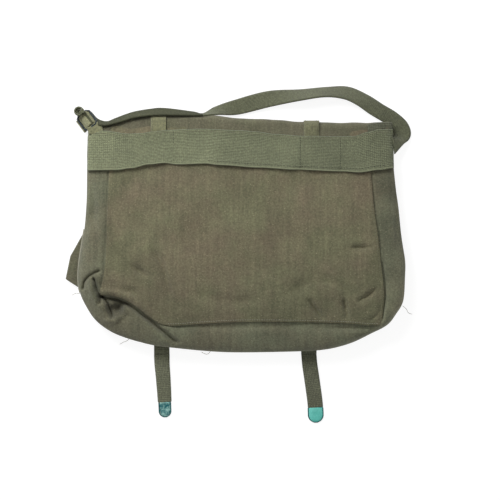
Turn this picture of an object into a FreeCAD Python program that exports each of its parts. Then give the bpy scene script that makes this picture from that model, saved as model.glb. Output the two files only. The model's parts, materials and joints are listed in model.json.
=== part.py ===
import FreeCAD, Part
import math
import os
import Sketcher

# A canvas satchel lying on its front, back panel up, with its mouth towards +Y.
# Millimetres. +X right, +Y towards the mouth, +Z up. The origin is the centre of the
# footprint on the plane that the closure straps rest on.

V = FreeCAD.Vector
doc = FreeCAD.newDocument("satchel")
sheet = doc.addObject("Spreadsheet::Sheet", "sizes")

SIZES = (
    # cloth and webbing
    ("canvas", 1.4), ("flap_cloth", 1.2), ("web_thick", 1.8), ("strap_thick", 2.0),
    ("closure_width", 20.0), ("strap_width", 22.0), ("band_width", 48.0), ("band_drop", 8.0),
    # body of the bag
    ("front_level", 6.4), ("mouth_level", 14.5), ("slope_angle", 5.0), ("mouth_y", 168.0),
    ("left_corner", 88.0), ("right_corner", 78.0),
    ("left_side", 209.0), ("right_side", 217.5), ("base_drop", 12.5), ("base_y", 116.0),
    ("mouth_left", 183.0), ("mouth_right", 199.0), ("shoulder_left", 196.0), ("shoulder_y", 153.0),
    ("waist_left", 197.0), ("waist_y", 70.0),
    # panels
    ("panel_left", 171.0), ("panel_right", 190.0), ("panel_base", 90.0), ("front_half", 178.0),
    # flap and its fold
    ("hinge_y", 170.0), ("hinge_level", 10.4), ("fold_left", 128.0), ("fold_right", 172.0),
    ("flap_fold_radius", 7.4), ("back_fold_radius", 4.1), ("flap_hem_y", 52.0), ("flap_tip", 225.0),
    # closure straps and their hardware
    ("left_web_x", 104.3), ("right_web_x", 94.9), ("strap_end_y", 131.0), ("tail_start_y", 131.8),
    ("left_tail_end", 209.0), ("right_tail_end", 216.2), ("tip_thick", 2.6), ("tip_length", 20.0),
    ("buckle_length", 18.0), ("buckle_width", 28.0), ("buckle_wire", 1.9), ("buckle_y", 66.0),
    # carrying strap hardware
    ("slide_length", 21.5), ("slide_width", 28.0), ("slide_wire", 2.6), ("slide_level", 10.4),
    ("slide_turn", 38.0), ("slide_tilt", 27.0), ("slide_slack", 0.3), ("weave_gap", 1.5),
    # seams
    ("binding_width", 8.0), ("hem_width", 12.0), ("hem_thick", 0.9),
)
for row, (alias, value) in enumerate(SIZES, start=1):
    sheet.set(f"A{row}", alias)
    sheet.set(f"B{row}", str(value))
    sheet.setAlias(f"B{row}", alias)
doc.recompute()


def size(alias):
    return float(sheet.get(alias))


SLOPE = math.tan(math.radians(size("slope_angle")))


def back_level(y):
    """Height of the back panel's outer face at a distance y along the bag."""
    return size("mouth_level") + (size("mouth_y") - y) * SLOPE


def new_body(label):
    body = doc.addObject("PartDesign::Body", label)
    body.Label = label
    return body


def new_sketch(body, role, name, offset=None):
    sketch = body.newObject("Sketcher::SketchObject", name)
    plane = [f for f in body.Origin.OriginFeatures if f.Role == role][0]
    sketch.AttachmentSupport = [(plane, "")]
    sketch.MapMode = "FlatFace"
    if offset:
        sketch.setExpression("AttachmentOffset.Base.z", offset)
    return sketch


def pin(sketch, edge, vertex, x_rule, y_rule):
    """Tie one end of an edge to the sketch's axes with two rules read from the sheet."""
    point = sketch.getPoint(edge, vertex)
    rules = (("DistanceX", point.x, x_rule), ("DistanceY", point.y, y_rule))
    for kind, value, rule in rules:
        if rule:
            index = sketch.addConstraint(Sketcher.Constraint(kind, -1, 1, edge, vertex, value))
            sketch.setExpression(f"Constraints[{index}]", rule)


def polygon(sketch, points):
    """Closed outline of straight edges. Each point is (x, y) or (x, y, x_rule, y_rule)."""
    corners = [V(p[0], p[1], 0) for p in points]
    count = len(corners)
    first = sketch.GeometryCount
    for i in range(count):
        sketch.addGeometry(Part.LineSegment(corners[i], corners[(i + 1) % count]))
    for i in range(count):
        following = first + (i + 1) % count
        sketch.addConstraint(Sketcher.Constraint("Coincident", first + i, 2, following, 1))
    for i, point in enumerate(points):
        if len(point) == 4:
            pin(sketch, first + i, 1, point[2], point[3])
    return first


def pad(body, sketch, length_rule, reverse=False, midplane=False):
    feature = body.newObject("PartDesign::Pad", sketch.Name + "_pad")
    feature.Profile = sketch
    feature.setExpression("Length", length_rule)
    feature.Reversed = reverse
    feature.Midplane = midplane
    sketch.Visibility = False
    doc.recompute()
    return feature


def fillet(body, base, edge_names, radius_rule):
    feature = body.newObject("PartDesign::Fillet", body.Name + "_fillet")
    feature.Base = (base, edge_names)
    feature.setExpression("Radius", radius_rule)
    doc.recompute()
    return feature


def edges_where(shape, test):
    return [f"Edge{i}" for i, edge in enumerate(shape.Edges, start=1) if test(edge)]


# ---------------------------------------------------------------- body of the bag

def silhouette(sketch, inset, reach):
    """U outline of the body, open side at y = reach, moved inwards by inset."""
    left, right = size("left_side") - inset, size("right_side") - inset
    base = size("base_y") - inset
    left_r, right_r = size("left_corner") - inset, size("right_corner") - inset
    left_mid = V(inset + left_r - size("left_side"), left_r - base, 0)
    right_mid = V(size("right_side") - inset - right_r, right_r - base, 0)
    top_left = V(inset - size("mouth_left"), reach, 0)
    chamfer_top = V(inset - size("mouth_left"), size("mouth_y") - inset / 2, 0)
    chamfer_low = V(inset - size("shoulder_left"), size("shoulder_y") - inset / 2, 0)
    waist = V(inset - size("waist_left"), size("waist_y"), 0)
    left_tangent = V(-left, left_mid.y, 0)
    base_left = V(left_mid.x, -base, 0)
    base_dip = V((left_mid.x + right_mid.x) / 2, -base - size("base_drop"), 0)
    base_right = V(right_mid.x, -base, 0)
    right_tangent = V(right, right_mid.y, 0)
    top_right = V(size("mouth_right") - inset, reach, 0)

    def corner(middle, radius, start):
        angles = [math.radians(start + step) for step in (0, 45, 90)]
        return Part.Arc(*[middle + V(math.cos(a), math.sin(a), 0) * radius for a in angles])

    run = [] if reach <= size("mouth_y") else [Part.LineSegment(top_left, chamfer_top)]
    run += [Part.LineSegment(top_left if not run else chamfer_top, chamfer_low)]
    run += [Part.LineSegment(chamfer_low, waist), Part.LineSegment(waist, left_tangent)]
    run += [corner(left_mid, left_r, 180), Part.Arc(base_left, base_dip, base_right)]
    run += [corner(right_mid, right_r, 270), Part.LineSegment(right_tangent, top_right)]
    run += [Part.LineSegment(top_right, top_left)]
    for edge in run:
        sketch.addGeometry(edge)


def bag_form(label, inset, start_level, reach):
    """Closed wedge of the bag: thin at the mouth and thick at the base."""
    body = new_body(label)
    outline = new_sketch(body, "XY_Plane", label + "_outline", start_level)
    silhouette(outline, inset, reach)
    block = pad(body, outline, "sizes.panel_base")
    wedge = new_sketch(body, "YZ_Plane", label + "_wedge")
    near, far = -size("mouth_y"), size("mouth_y") + 60
    top = size("panel_base") + 60
    polygon(wedge, [
        (near, back_level(near) - inset), (far, back_level(far) - inset), (far, top), (near, top),
    ])
    cut = body.newObject("PartDesign::Pocket", label + "_slope")
    cut.Profile = wedge
    cut.Midplane = True
    cut.Length = 4 * size("right_side")
    doc.recompute()
    assert cut.Shape.Volume < 0.7 * block.Shape.Volume, "the slope cut missed the form"
    return body


outer_form = bag_form("outer_form", 0.0, "sizes.front_level", size("mouth_y"))
inner_form = bag_form(
    "inner_form", size("canvas"), "sizes.front_level + sizes.canvas", size("mouth_y") + 20)


def boolean(kind, label, base, tool):
    feature = doc.addObject("Part::" + kind, label)
    feature.Label = label
    feature.Base = base
    feature.Tool = tool
    doc.recompute()
    return feature


shell = boolean("Cut", "bag_shell", outer_form, inner_form)


def prism(label, points, start_rule, length_rule):
    body = new_body(label)
    outline = new_sketch(body, "XY_Plane", label + "_outline", start_rule)
    polygon(outline, points)
    pad(body, outline, length_rule)
    return body


panel_left, panel_right = size("panel_left"), size("panel_right")
panel_base, beyond = size("panel_base"), size("mouth_y") + 30
back_seam = prism("back_seam", [
    (-panel_left, beyond, "-sizes.panel_left", None), (-panel_left, 0), (-panel_left - 6, -52),
    (-140, -62), (-112, -84), (-92, -panel_base, None, "-sizes.panel_base"),
    (panel_right - 4, -panel_base + 2), (panel_right, -57, "sizes.panel_right", None),
    (panel_right - 14, 40), (panel_left, 110), (panel_left, beyond),
], "sizes.mouth_level - 2 * sizes.canvas", "sizes.panel_base")
front_half = size("front_half")
front_seam = prism("front_seam", [
    (-front_half, beyond), (-front_half, -50), (-front_half + 40, -panel_base),
    (front_half - 40, -panel_base), (front_half, -50), (front_half, beyond),
], "0", "sizes.front_level + sizes.canvas")

back_panel = boolean("Common", "back_panel", shell, back_seam)
front_panel = boolean("Common", "front_panel", shell, front_seam)
seams = boolean("Fuse", "both_seams", back_seam, front_seam)
gusset = boolean("Cut", "gusset", shell, seams)

binding = new_body("front_seam_binding")
binding_outline = new_sketch(
    binding, "XY_Plane", "binding_outline", "sizes.front_level - sizes.flap_cloth")
half_binding = size("binding_width") / 2


def u_side(grow):
    wide, low = front_half + grow, panel_base + grow
    return [(-wide, 150), (-wide, -50), (-wide + 40, -low), (wide - 40, -low), (wide, -50), (wide, 150)]


polygon(binding_outline, u_side(half_binding) + u_side(-half_binding)[::-1])
pad(binding, binding_outline, "sizes.flap_cloth")


# ---------------------------------------------------------------- flat webs and hems

def web(label, corner_rules, length_rules, sloped=False):
    """Flat strip of webbing or cloth; sloped strips lie along the back panel."""
    box = doc.addObject("Part::Box", label)
    box.Label = label
    for name, rule in zip(("Length", "Width", "Height"), length_rules):
        box.setExpression(name, rule)
    for name, rule in zip("xyz", corner_rules):
        box.setExpression("Placement.Base." + name, rule)
    if sloped:
        box.Placement = FreeCAD.Placement(V(), FreeCAD.Rotation(V(1, 0, 0), -size("slope_angle")))
        for name, rule in zip("xyz", corner_rules):
            box.setExpression("Placement.Base." + name, rule)
    return box


# The band runs across the back, from one side of the bag to the other.
band_low = "(sizes.mouth_y - sizes.band_drop - sizes.band_width * cos(sizes.slope_angle))"
band_level = f"(sizes.mouth_level + (sizes.mouth_y - {band_low}) * tan(sizes.slope_angle))"
web("back_band", ("-194", band_low, band_level), ("394", "sizes.band_width", "sizes.web_thick"), True)
web("front_mouth_hem", ("-176", "sizes.mouth_y - sizes.hem_width", "sizes.front_level - sizes.hem_thick"),
    ("352", "sizes.hem_width", "sizes.hem_thick"))


def fold_strip(label, centre_x, width_rule, inner, thick, back_run):
    """Cloth that leaves the back panel and turns round the mouth as far as its outermost point."""
    body = new_body(label)
    profile = new_sketch(body, "YZ_Plane", label + "_profile", centre_x)
    middle = V(size("hinge_y"), size("hinge_level"), 0)
    top = math.radians(90 - size("slope_angle"))
    outward = V(math.cos(top), math.sin(top), 0)
    along = V(-math.sin(top), math.cos(top), 0)

    def rim(radius):
        angles = (0, top / 2, top)
        return [middle + V(math.cos(a), math.sin(a), 0) * radius for a in angles]

    inside, outside = rim(inner), rim(inner + thick)
    inner_end = middle + outward * inner + along * back_run
    outer_end = middle + outward * (inner + thick) + along * back_run
    profile.addGeometry(Part.Arc(*inside))
    profile.addGeometry(Part.LineSegment(inside[2], inner_end))
    profile.addGeometry(Part.LineSegment(inner_end, outer_end))
    profile.addGeometry(Part.LineSegment(outer_end, outside[2]))
    profile.addGeometry(Part.Arc(*outside))
    profile.addGeometry(Part.LineSegment(outside[0], inside[0]))
    pad(body, profile, width_rule, midplane=True)
    return body


cloth, web_thick = size("flap_cloth"), size("web_thick")
back_radius = size("back_fold_radius")
web_radius = back_radius + cloth
strip_run = 9.3
fold_middle = "(sizes.fold_right - sizes.fold_left) / 2"
fold_strip("flap_back_strip", fold_middle, "sizes.fold_right + sizes.fold_left", back_radius, cloth, strip_run)
for side, centre in (("left", "-sizes.left_web_x"), ("right", "sizes.right_web_x")):
    fold_strip(side + "_closure_web_back", centre, "sizes.closure_width", web_radius, web_thick, strip_run)


# ---------------------------------------------------------------- flap

def fold_and_front(label, centre_rule, width_rule, inner, thick, front_end):
    """Cloth that starts at the fold's outermost point, turns under and runs along the front."""
    body = new_body(label)
    profile = new_sketch(body, "YZ_Plane", label + "_profile", centre_rule)
    middle = V(size("hinge_y"), size("hinge_level"), 0)
    start = math.radians(-6)
    bottom = math.radians(-90)

    def rim(radius):
        angles = (start, (start + bottom) / 2, bottom)
        return [middle + V(math.cos(a), math.sin(a), 0) * radius for a in angles]

    inside, outside = rim(inner), rim(inner + thick)
    inner_end = V(front_end, inside[2].y, 0)
    outer_end = V(front_end, outside[2].y, 0)
    profile.addGeometry(Part.Arc(*inside))
    profile.addGeometry(Part.LineSegment(inside[2], inner_end))
    profile.addGeometry(Part.LineSegment(inner_end, outer_end))
    profile.addGeometry(Part.LineSegment(outer_end, outside[2]))
    profile.addGeometry(Part.Arc(*outside))
    profile.addGeometry(Part.LineSegment(outside[0], inside[0]))
    pad(body, profile, width_rule, midplane=True)
    return body


flap_radius = size("flap_fold_radius")
flap_blank = fold_and_front("flap_blank", "0", "2 * sizes.flap_tip", flap_radius, cloth, -70)
fold_left, fold_right, hem_y = size("fold_left"), size("fold_right"), size("flap_hem_y")
flap_cutter = prism("flap_cutter", [
    (-fold_left, 200, "-sizes.fold_left", None), (-fold_left, 157), (-187, 146), (-190, 100), (-200, 35),
    (-size("flap_tip"), -32.6, "-sizes.flap_tip", None), (-206, -45),
    (-186, -hem_y, None, "-sizes.flap_hem_y"), (160, -hem_y), (188, -34), (190, 146),
    (fold_right, 157), (fold_right, 200, "sizes.fold_right", None),
], "0", "sizes.hinge_level + 4")
flap_panel = boolean("Common", "flap_panel", flap_blank, flap_cutter)
web("flap_hem", ("-184", "-sizes.flap_hem_y + 1", "sizes.web_thick + sizes.flap_cloth"),
    ("342", "sizes.hem_width", "sizes.hem_thick"))

strap_radius = flap_radius + cloth
for side, centre in (("left", "-sizes.left_web_x"), ("right", "sizes.right_web_x")):
    fold_and_front(
        side + "_closure_strap", centre, "sizes.closure_width", strap_radius, web_thick,
        -size("strap_end_y"))


# ---------------------------------------------------------------- tails and their metal tips

tip_gap = 0.4


def tail(side, centre_x, end_x, end_rule, tip_extra):
    """Free end of a closure strap, slightly out of square, with a crimped metal tip."""
    start_y, end_y = -size("tail_start_y"), -size(end_rule)
    half = size("closure_width") / 2 - 1
    body = new_body(side + "_tail")
    outline = new_sketch(body, "XY_Plane", side + "_tail_outline")
    polygon(outline, [
        (centre_x - half, start_y), (centre_x + half, start_y), (end_x + half, end_y), (end_x - half, end_y),
    ])
    outline.AttachmentOffset = FreeCAD.Placement(V(0, 0, tip_gap), FreeCAD.Rotation())
    pad(body, outline, "sizes.web_thick")

    plate = new_body(side + "_tip_plate")
    rim = new_sketch(plate, "XY_Plane", side + "_tip_outline")
    wide = half + tip_extra
    top_y, low_y = end_y + size("tip_length") - 3, end_y - 3
    tilt = (end_x - centre_x) / (end_y - start_y) * size("tip_length")
    polygon(rim, [
        (end_x - wide - tilt, top_y), (end_x + wide - tilt, top_y), (end_x + wide, low_y + 4),
        (end_x + wide - 4, low_y), (end_x - wide + 4, low_y), (end_x - wide, low_y + 4),
    ])
    pad(plate, rim, "sizes.tip_thick")
    web_ghost = doc.addObject("Part::Box", side + "_tip_slot")
    web_ghost.Length = 2 * wide + 10
    web_ghost.Width = 20
    web_ghost.setExpression("Height", "sizes.web_thick")
    web_ghost.Placement.Base = V(end_x - wide - 5, end_y, tip_gap)
    return boolean("Cut", side + "_strap_tip", plate, web_ghost)


left_web, right_web = -size("left_web_x"), size("right_web_x")
tail("left", left_web + 2.4, left_web + 7.6, "left_tail_end", 0.6)
tail("right", right_web - 3.0, right_web + 5.3, "right_tail_end", 1.4)


# ---------------------------------------------------------------- closure buckles and slide

def slide_frame(label, width, length, wire, bar_at):
    """Wire frame with one cross bar: a padded ring with two windows and rounded edges."""
    body = new_body(label)
    outline = new_sketch(body, "XY_Plane", label + "_outline")
    half_w, half_l = size(width) / 2, size(length) / 2
    thick = size(wire)
    cut = 1.6 * thick

    def ring(x0, x1, y0, y1, bevel):
        polygon(outline, [
            (x0 + bevel, y0), (x1 - bevel, y0), (x1, y0 + bevel), (x1, y1 - bevel),
            (x1 - bevel, y1), (x0 + bevel, y1), (x0, y1 - bevel), (x0, y0 + bevel),
        ])

    bar = bar_at * half_l
    ring(-half_w, half_w, -half_l, half_l, cut)
    ring(-half_w + thick, half_w - thick, -half_l + thick, bar - thick / 2, cut / 2)
    ring(-half_w + thick, half_w - thick, bar + thick / 2, half_l - thick, cut / 2)
    feature = pad(body, outline, "sizes." + wire, midplane=True)
    level = size(wire) / 2

    def on_face(edge):
        box = edge.BoundBox
        return box.ZLength < 0.01 and abs(abs(box.ZMin) - level) < 0.01

    fillet(body, feature, edges_where(feature.Shape, on_face), f"sizes.{wire} * 0.4")
    return body


buckle_level = size("front_level") - 1.1 - 0.1 - size("buckle_wire") / 2
for side, centre in (("left", left_web + 1.5), ("right", right_web - 1.8)):
    buckle = slide_frame(side + "_closure_buckle", "buckle_width", "buckle_length", "buckle_wire", 0.1)
    buckle_middle = -size("buckle_y") - size("buckle_length") / 2 + size("buckle_wire") / 2
    buckle.Placement = FreeCAD.Placement(V(centre, buckle_middle, buckle_level), FreeCAD.Rotation())
    # The chape is a folded loop of tape sewn to the front panel, round the buckle's upper bar.
    chape = new_body(side + "_buckle_chape")
    profile = new_sketch(chape, "YZ_Plane", side + "_chape_profile")
    profile.AttachmentOffset = FreeCAD.Placement(V(0, 0, centre), FreeCAD.Rotation())
    bar_middle = V(-size("buckle_y"), buckle_level, 0)
    hole, skin = size("buckle_wire") / 2 + 0.1, 1.0
    top_level, tape_end = bar_middle.y + hole + skin, bar_middle.x + 14
    for radius in (hole + skin, hole):
        reach = [bar_middle + V(0, radius, 0), bar_middle + V(-radius, 0, 0), bar_middle + V(0, -radius, 0)]
        profile.addGeometry(Part.Arc(*reach))
    low_level = top_level - 2 * skin
    profile.addGeometry(Part.LineSegment(bar_middle + V(0, hole + skin, 0), V(tape_end, top_level, 0)))
    profile.addGeometry(Part.LineSegment(V(tape_end, top_level, 0), V(tape_end, low_level, 0)))
    meet = V(bar_middle.x + hole + 3.2, low_level, 0)
    below_bar = bar_middle + V(hole, -hole, 0)
    profile.addGeometry(Part.LineSegment(V(tape_end, low_level, 0), meet))
    profile.addGeometry(Part.LineSegment(meet, below_bar + V(0, -skin, 0)))
    profile.addGeometry(Part.LineSegment(below_bar + V(0, -skin, 0), bar_middle + V(0, -hole - skin, 0)))
    nook = V(bar_middle.x + hole + 3.0, low_level + skin, 0)
    profile.addGeometry(Part.LineSegment(bar_middle + V(0, hole, 0), nook))
    profile.addGeometry(Part.LineSegment(nook, below_bar))
    profile.addGeometry(Part.LineSegment(below_bar, bar_middle + V(0, -hole, 0)))
    pad(chape, profile, "sizes.closure_width", midplane=True)

# The slide leans on its far end, with the end next to the bag up.
slide_middle = V(-198.0, 174.5, size("slide_level"))
slide = slide_frame("shoulder_slide", "slide_width", "slide_length", "slide_wire", 0.0)
slide_lie = (FreeCAD.Rotation(V(0, 0, 1), size("slide_turn") - 90)
             * FreeCAD.Rotation(V(0, 1, 0), -size("slide_tilt")))
slide.Placement = FreeCAD.Placement(slide_middle, slide_lie)


# ---------------------------------------------------------------- carrying strap

def ribbon(label, stations, thick):
    """Flat webbing as a ruled loft. Each station is its bag-side edge and its far edge."""
    pairs = [(V(*near), V(*far)) for near, far in stations]
    middles = [(near + far) * 0.5 for near, far in pairs]
    sections = []
    for i, (near, far) in enumerate(pairs):
        travel = middles[min(i + 1, len(pairs) - 1)] - middles[max(i - 1, 0)]
        across = far - near
        normal = travel.cross(across).normalize() * (thick / 2)
        corners = [near + normal, far + normal, far - normal, near - normal]
        sections.append(Part.makePolygon(corners + corners[:1]))
    feature = doc.addObject("Part::Feature", label)
    feature.Label = label
    feature.Shape = Part.makeLoft(sections, True, True)
    return feature


to_bag, travel, off_slide = [slide_lie.multVec(axis) for axis in (V(1, 0, 0), V(0, 1, 0), V(0, 0, 1))]
half_strap = size("strap_width") / 2 - size("slide_slack")


def across_slide(distance, rise):
    """Strap edges where it crosses the slide, distance along the strap from the middle bar."""
    middle = slide_middle + travel * distance + off_slide * rise
    return (middle + to_bag * half_strap, middle - to_bag * half_strap)


# In and out of the three bars, twisted on edge behind the mouth, then lying down to the right.
strap_thick = size("strap_thick")
weave = size("slide_wire") / 2 + strap_thick / 2 + size("weave_gap")
outer_bar = size("slide_length") / 2 - size("slide_wire") / 2
through = [across_slide(-outer_bar - 3, -weave + 0.4)]
through += [across_slide(-outer_bar, -weave), across_slide(0, weave), across_slide(outer_bar, -weave)]
run = [
    ((-181, 169.2, 19.5), (-185, 176.5, 1.8)),
    ((-173, 168.2, 20.8), (-173, 173.5, 1.6)),
    ((-163, 169.4, 21), (-162, 177.5, 1.5)),
    ((-150, 172.6, 21), (-149, 182, 1.4)),
    ((-137, 176.2, 21), (-136, 186, 1.4)),
    ((-118, 179, 20.5), (-117, 189.5, 1.4)),
    ((-98, 179.4, 20), (-98, 190.8, 1.4)),
    ((-60, 179.6, 18.5), (-61, 187.5, 1.4)),
    ((-45, 180, 16), (-47, 186, 1.4)),
    ((-25, 181.5, 9), (-31, 192.5, 1.4)),
    ((0, 182.5, 3), (-8, 201, 1.4)),
    ((42, 192.5, 6), (37, 213, 1.4)),
    ((81, 200, 16.5), (80, 215, 1.5)),
    ((113, 204.5, 17), (114, 218, 1.5)),
    ((137, 202, 14), (143, 218.6, 1.5)),
    ((154, 194.5, 11), (168, 208.5, 1.5)),
    ((171, 183, 6), (190, 195, 1.4)),
    ((188, 173, 4), (206, 185.5, 1.3)),
    ((199, 165, 3), (219.5, 173.5, 1.2)),
    ((203.5, 157.5, 3.5), (224.9, 161, 1.2)),
    ((208, 152.8, 6.5), (224.4, 156, 3)),
    ((205.4, 150.6, 12), (215.5, 143.5, 8.5)),
    ((203.8, 149.5, 15.5), (204.8, 130, 13)),
]
strap = ribbon("shoulder_strap", through + run, strap_thick)
print("strap length mm", round(sum(
    ((V(*a[0]) + V(*a[1])) * 0.5 - (V(*b[0]) + V(*b[1])) * 0.5).Length
    for a, b in zip(through + run, (through + run)[1:]))))

# The strap's own end stands on edge past the slide and curls up round an upright axis.
curl_middle, curl_turn = V(-209.6, 187.0, 0), 300
curl = []
for step in range(11):
    angle = math.radians(-20 + curl_turn * step / 10)
    radius = 6.4 - 0.22 * step
    place = curl_middle + V(math.cos(angle), math.sin(angle), 0) * radius
    curl.append((place + V(0, 0, 18.5), place + V(0, 0, 7)))
ribbon("shoulder_strap_end", curl, 1.6)

# Tape between the bag's corner and the slide's bag-side end, and the patch it is sewn to.
ribbon("left_anchor_tape", [
    ((-184.0, 161.4, 18.3), (-193.4, 157.8, 18.3)),
    ((-186.2, 163.4, 18.5), (-195.8, 159.4, 18.5)),
], 1.4)


# ---------------------------------------------------------------- check and write

NODES = """back_panel front_panel gusset front_seam_binding back_band front_mouth_hem
flap_back_strip left_closure_web_back right_closure_web_back flap_panel flap_hem
left_closure_strap right_closure_strap left_tail right_tail left_strap_tip right_strap_tip
left_closure_buckle right_closure_buckle left_buckle_chape right_buckle_chape
shoulder_slide shoulder_strap shoulder_strap_end left_anchor_tape""".split()

doc.recompute()
for item in doc.Objects:
    assert not {"Invalid", "Error"} & set(item.State), item.Name + " failed"
solids = {name: doc.getObjectsByLabel(name)[0].Shape for name in NODES}
for name, shape in solids.items():
    assert not shape.isNull() and shape.isValid() and shape.Solids, name + " has no valid solid"

os.makedirs("parts", exist_ok=True)
for name, shape in solids.items():
    shape.exportStep(os.path.join("parts", name + ".step"))
whole = Part.makeCompound(list(solids.values())).BoundBox
print("box", [round(v, 2) for v in (whole.XMin, whole.XMax, whole.YMin, whole.YMax, whole.ZMin, whole.ZMax)])
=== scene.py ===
import json
import math

import bmesh
import bpy
from mathutils import Matrix, Vector, noise


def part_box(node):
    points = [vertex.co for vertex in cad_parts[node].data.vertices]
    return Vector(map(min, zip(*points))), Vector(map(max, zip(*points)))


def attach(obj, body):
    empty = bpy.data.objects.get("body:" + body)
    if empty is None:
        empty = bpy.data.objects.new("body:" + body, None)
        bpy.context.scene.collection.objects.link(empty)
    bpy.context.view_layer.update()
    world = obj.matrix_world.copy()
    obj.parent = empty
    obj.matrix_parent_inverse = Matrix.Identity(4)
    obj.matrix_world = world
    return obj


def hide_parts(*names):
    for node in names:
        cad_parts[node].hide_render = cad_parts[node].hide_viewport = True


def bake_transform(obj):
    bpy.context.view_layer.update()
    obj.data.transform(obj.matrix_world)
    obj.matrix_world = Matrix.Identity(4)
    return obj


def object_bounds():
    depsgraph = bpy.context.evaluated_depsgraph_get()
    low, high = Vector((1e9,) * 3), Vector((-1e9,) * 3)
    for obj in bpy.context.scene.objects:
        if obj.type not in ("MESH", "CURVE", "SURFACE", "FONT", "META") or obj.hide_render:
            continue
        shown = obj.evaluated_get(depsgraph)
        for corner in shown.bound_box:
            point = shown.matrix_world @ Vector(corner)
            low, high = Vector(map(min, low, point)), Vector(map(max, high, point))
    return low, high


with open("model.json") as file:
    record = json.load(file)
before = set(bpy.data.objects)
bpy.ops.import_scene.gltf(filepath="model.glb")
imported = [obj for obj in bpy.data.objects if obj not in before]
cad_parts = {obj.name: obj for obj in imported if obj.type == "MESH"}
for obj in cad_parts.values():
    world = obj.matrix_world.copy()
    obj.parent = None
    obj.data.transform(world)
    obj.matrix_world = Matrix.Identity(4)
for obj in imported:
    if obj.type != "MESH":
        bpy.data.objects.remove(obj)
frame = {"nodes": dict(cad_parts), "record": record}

cad_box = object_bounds()
MM = 0.001


def mm(x, y, z):
    return Vector((x, y, z)) * MM


# ---- places read from the frame

low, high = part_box("gusset")
FRONT_Z = low[2] / MM
MOUTH_Y = high[1] / MM
hinge = [j for j in frame["record"]["behaviour"]["joints"] if j["name"] == "flap_hinge"][0]["pos_m"]
HINGE_Z = hinge[2] / MM
TABLE = cad_box[0][2]

# ---- camera, light and floor

CAMERA_HEIGHT = 2.42
CLOTH_HEIGHT = 0.02
FRAME_WIDTH = 0.65
SENSOR_WIDTH = 36


def add_object(name, data):
    obj = bpy.data.objects.new(name, data)
    bpy.context.collection.objects.link(obj)
    return obj


camera_data = bpy.data.cameras.new("camera")
camera = add_object("camera", camera_data)
camera.location = (0.0147, 0.0051, CAMERA_HEIGHT)
camera_data.sensor_width = SENSOR_WIDTH
camera_data.lens = SENSOR_WIDTH * (CAMERA_HEIGHT - CLOTH_HEIGHT) / FRAME_WIDTH
bpy.context.scene.camera = camera
bpy.context.scene.view_settings.view_transform = "Standard"


def area_light(name, place, size, power):
    """Square lamp that faces the middle of the bag."""
    data = bpy.data.lights.new(name, "AREA")
    data.size, data.energy = size, power
    lamp = add_object(name, data)
    lamp.location = place
    lamp.rotation_euler = (-Vector(place)).to_track_quat("-Z", "Y").to_euler()


area_light("key", (-0.62, 0.95, 0.95), 0.7, 19)
area_light("fill", (1.3, -0.8, 1.9), 1.8, 2.5)
world = bpy.data.worlds.new("world")
bpy.context.scene.world = world
world.use_nodes = True
world.node_tree.nodes["Background"].inputs["Color"].default_value = (1, 1, 1, 1)
world.node_tree.nodes["Background"].inputs["Strength"].default_value = 0.43

# ---- materials


class Graph:
    """A material's node tree with short calls for the nodes used here."""

    def __init__(self, name, roughness, sheen=0.0, metallic=0.0):
        self.material = bpy.data.materials.new(name)
        self.material.use_nodes = True
        self.tree = self.material.node_tree
        self.shader = self.tree.nodes["Principled BSDF"]
        self.shader.inputs["Roughness"].default_value = roughness
        self.shader.inputs["Metallic"].default_value = metallic
        self.shader.inputs["Sheen Weight"].default_value = sheen
        self.shader.inputs["Sheen Roughness"].default_value = 0.6
        self.shader.inputs["Specular IOR Level"].default_value = 0.25

    def node(self, kind, **settings):
        made = self.tree.nodes.new(kind)
        for key, value in settings.items():
            if hasattr(made, key):
                setattr(made, key, value)
            else:
                made.inputs[key.replace("_", " ")].default_value = value
        return made

    def link(self, source, target):
        self.tree.links.new(source, target)

    def place(self, uv=False):
        if uv:
            return self.node("ShaderNodeUVMap", uv_map="cloth").outputs["UV"]
        return self.node("ShaderNodeTexCoord").outputs["Object"]

    def noise(self, where, scale, detail=3.0, roughness=0.55):
        made = self.node("ShaderNodeTexNoise", Scale=scale, Detail=detail, Roughness=roughness)
        self.link(where, made.inputs["Vector"])
        return made.outputs["Fac"]

    def bands(self, where, pitch, axis, distortion=0.0):
        """Ribs a pitch apart along an axis. The wave node repeats every pi / 10 units."""
        made = self.node("ShaderNodeTexWave", Scale=math.pi / 10 / pitch, Distortion=distortion)
        made.bands_direction = axis
        made.inputs["Detail Scale"].default_value = 0.4
        self.link(where, made.inputs["Vector"])
        return made.outputs["Fac"]

    def math(self, operation, a, b):
        made = self.node("ShaderNodeMath", operation=operation)
        for socket, value in zip(made.inputs, (a, b)):
            if isinstance(value, float):
                socket.default_value = value
            else:
                self.link(value, socket)
        return made.outputs["Value"]

    def ramp(self, factor, stops):
        made = self.node("ShaderNodeValToRGB")
        points = made.color_ramp.elements
        for spare in range(len(stops) - 2):
            points.new(0.5)
        for point, (at, colour) in zip(points, stops):
            point.position, point.color = at, (*colour, 1)
        self.link(factor, made.inputs["Fac"])
        return made.outputs["Color"]

    def mix(self, kind, factor, a, b):
        made = self.node("ShaderNodeMix", data_type="RGBA", blend_type=kind)
        for socket, value in ((made.inputs[0], factor), (made.inputs[6], a), (made.inputs[7], b)):
            if isinstance(value, (float, tuple)):
                socket.default_value = value
            else:
                self.link(value, socket)
        return made.outputs[2]

    def bump(self, height, depth):
        made = self.node("ShaderNodeBump", Strength=1.0, Distance=depth)
        self.link(height, made.inputs["Height"])
        self.link(made.outputs["Normal"], self.shader.inputs["Normal"])

    def colour(self, source):
        self.link(source, self.shader.inputs["Base Color"])


WHITE = (1.0, 1.0, 1.0)


def grey(value):
    return (value, value, value)


def shade(colour, factor):
    return tuple(min(1.0, c * factor) for c in colour)


CANVAS_THREAD = 0.0009


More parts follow.
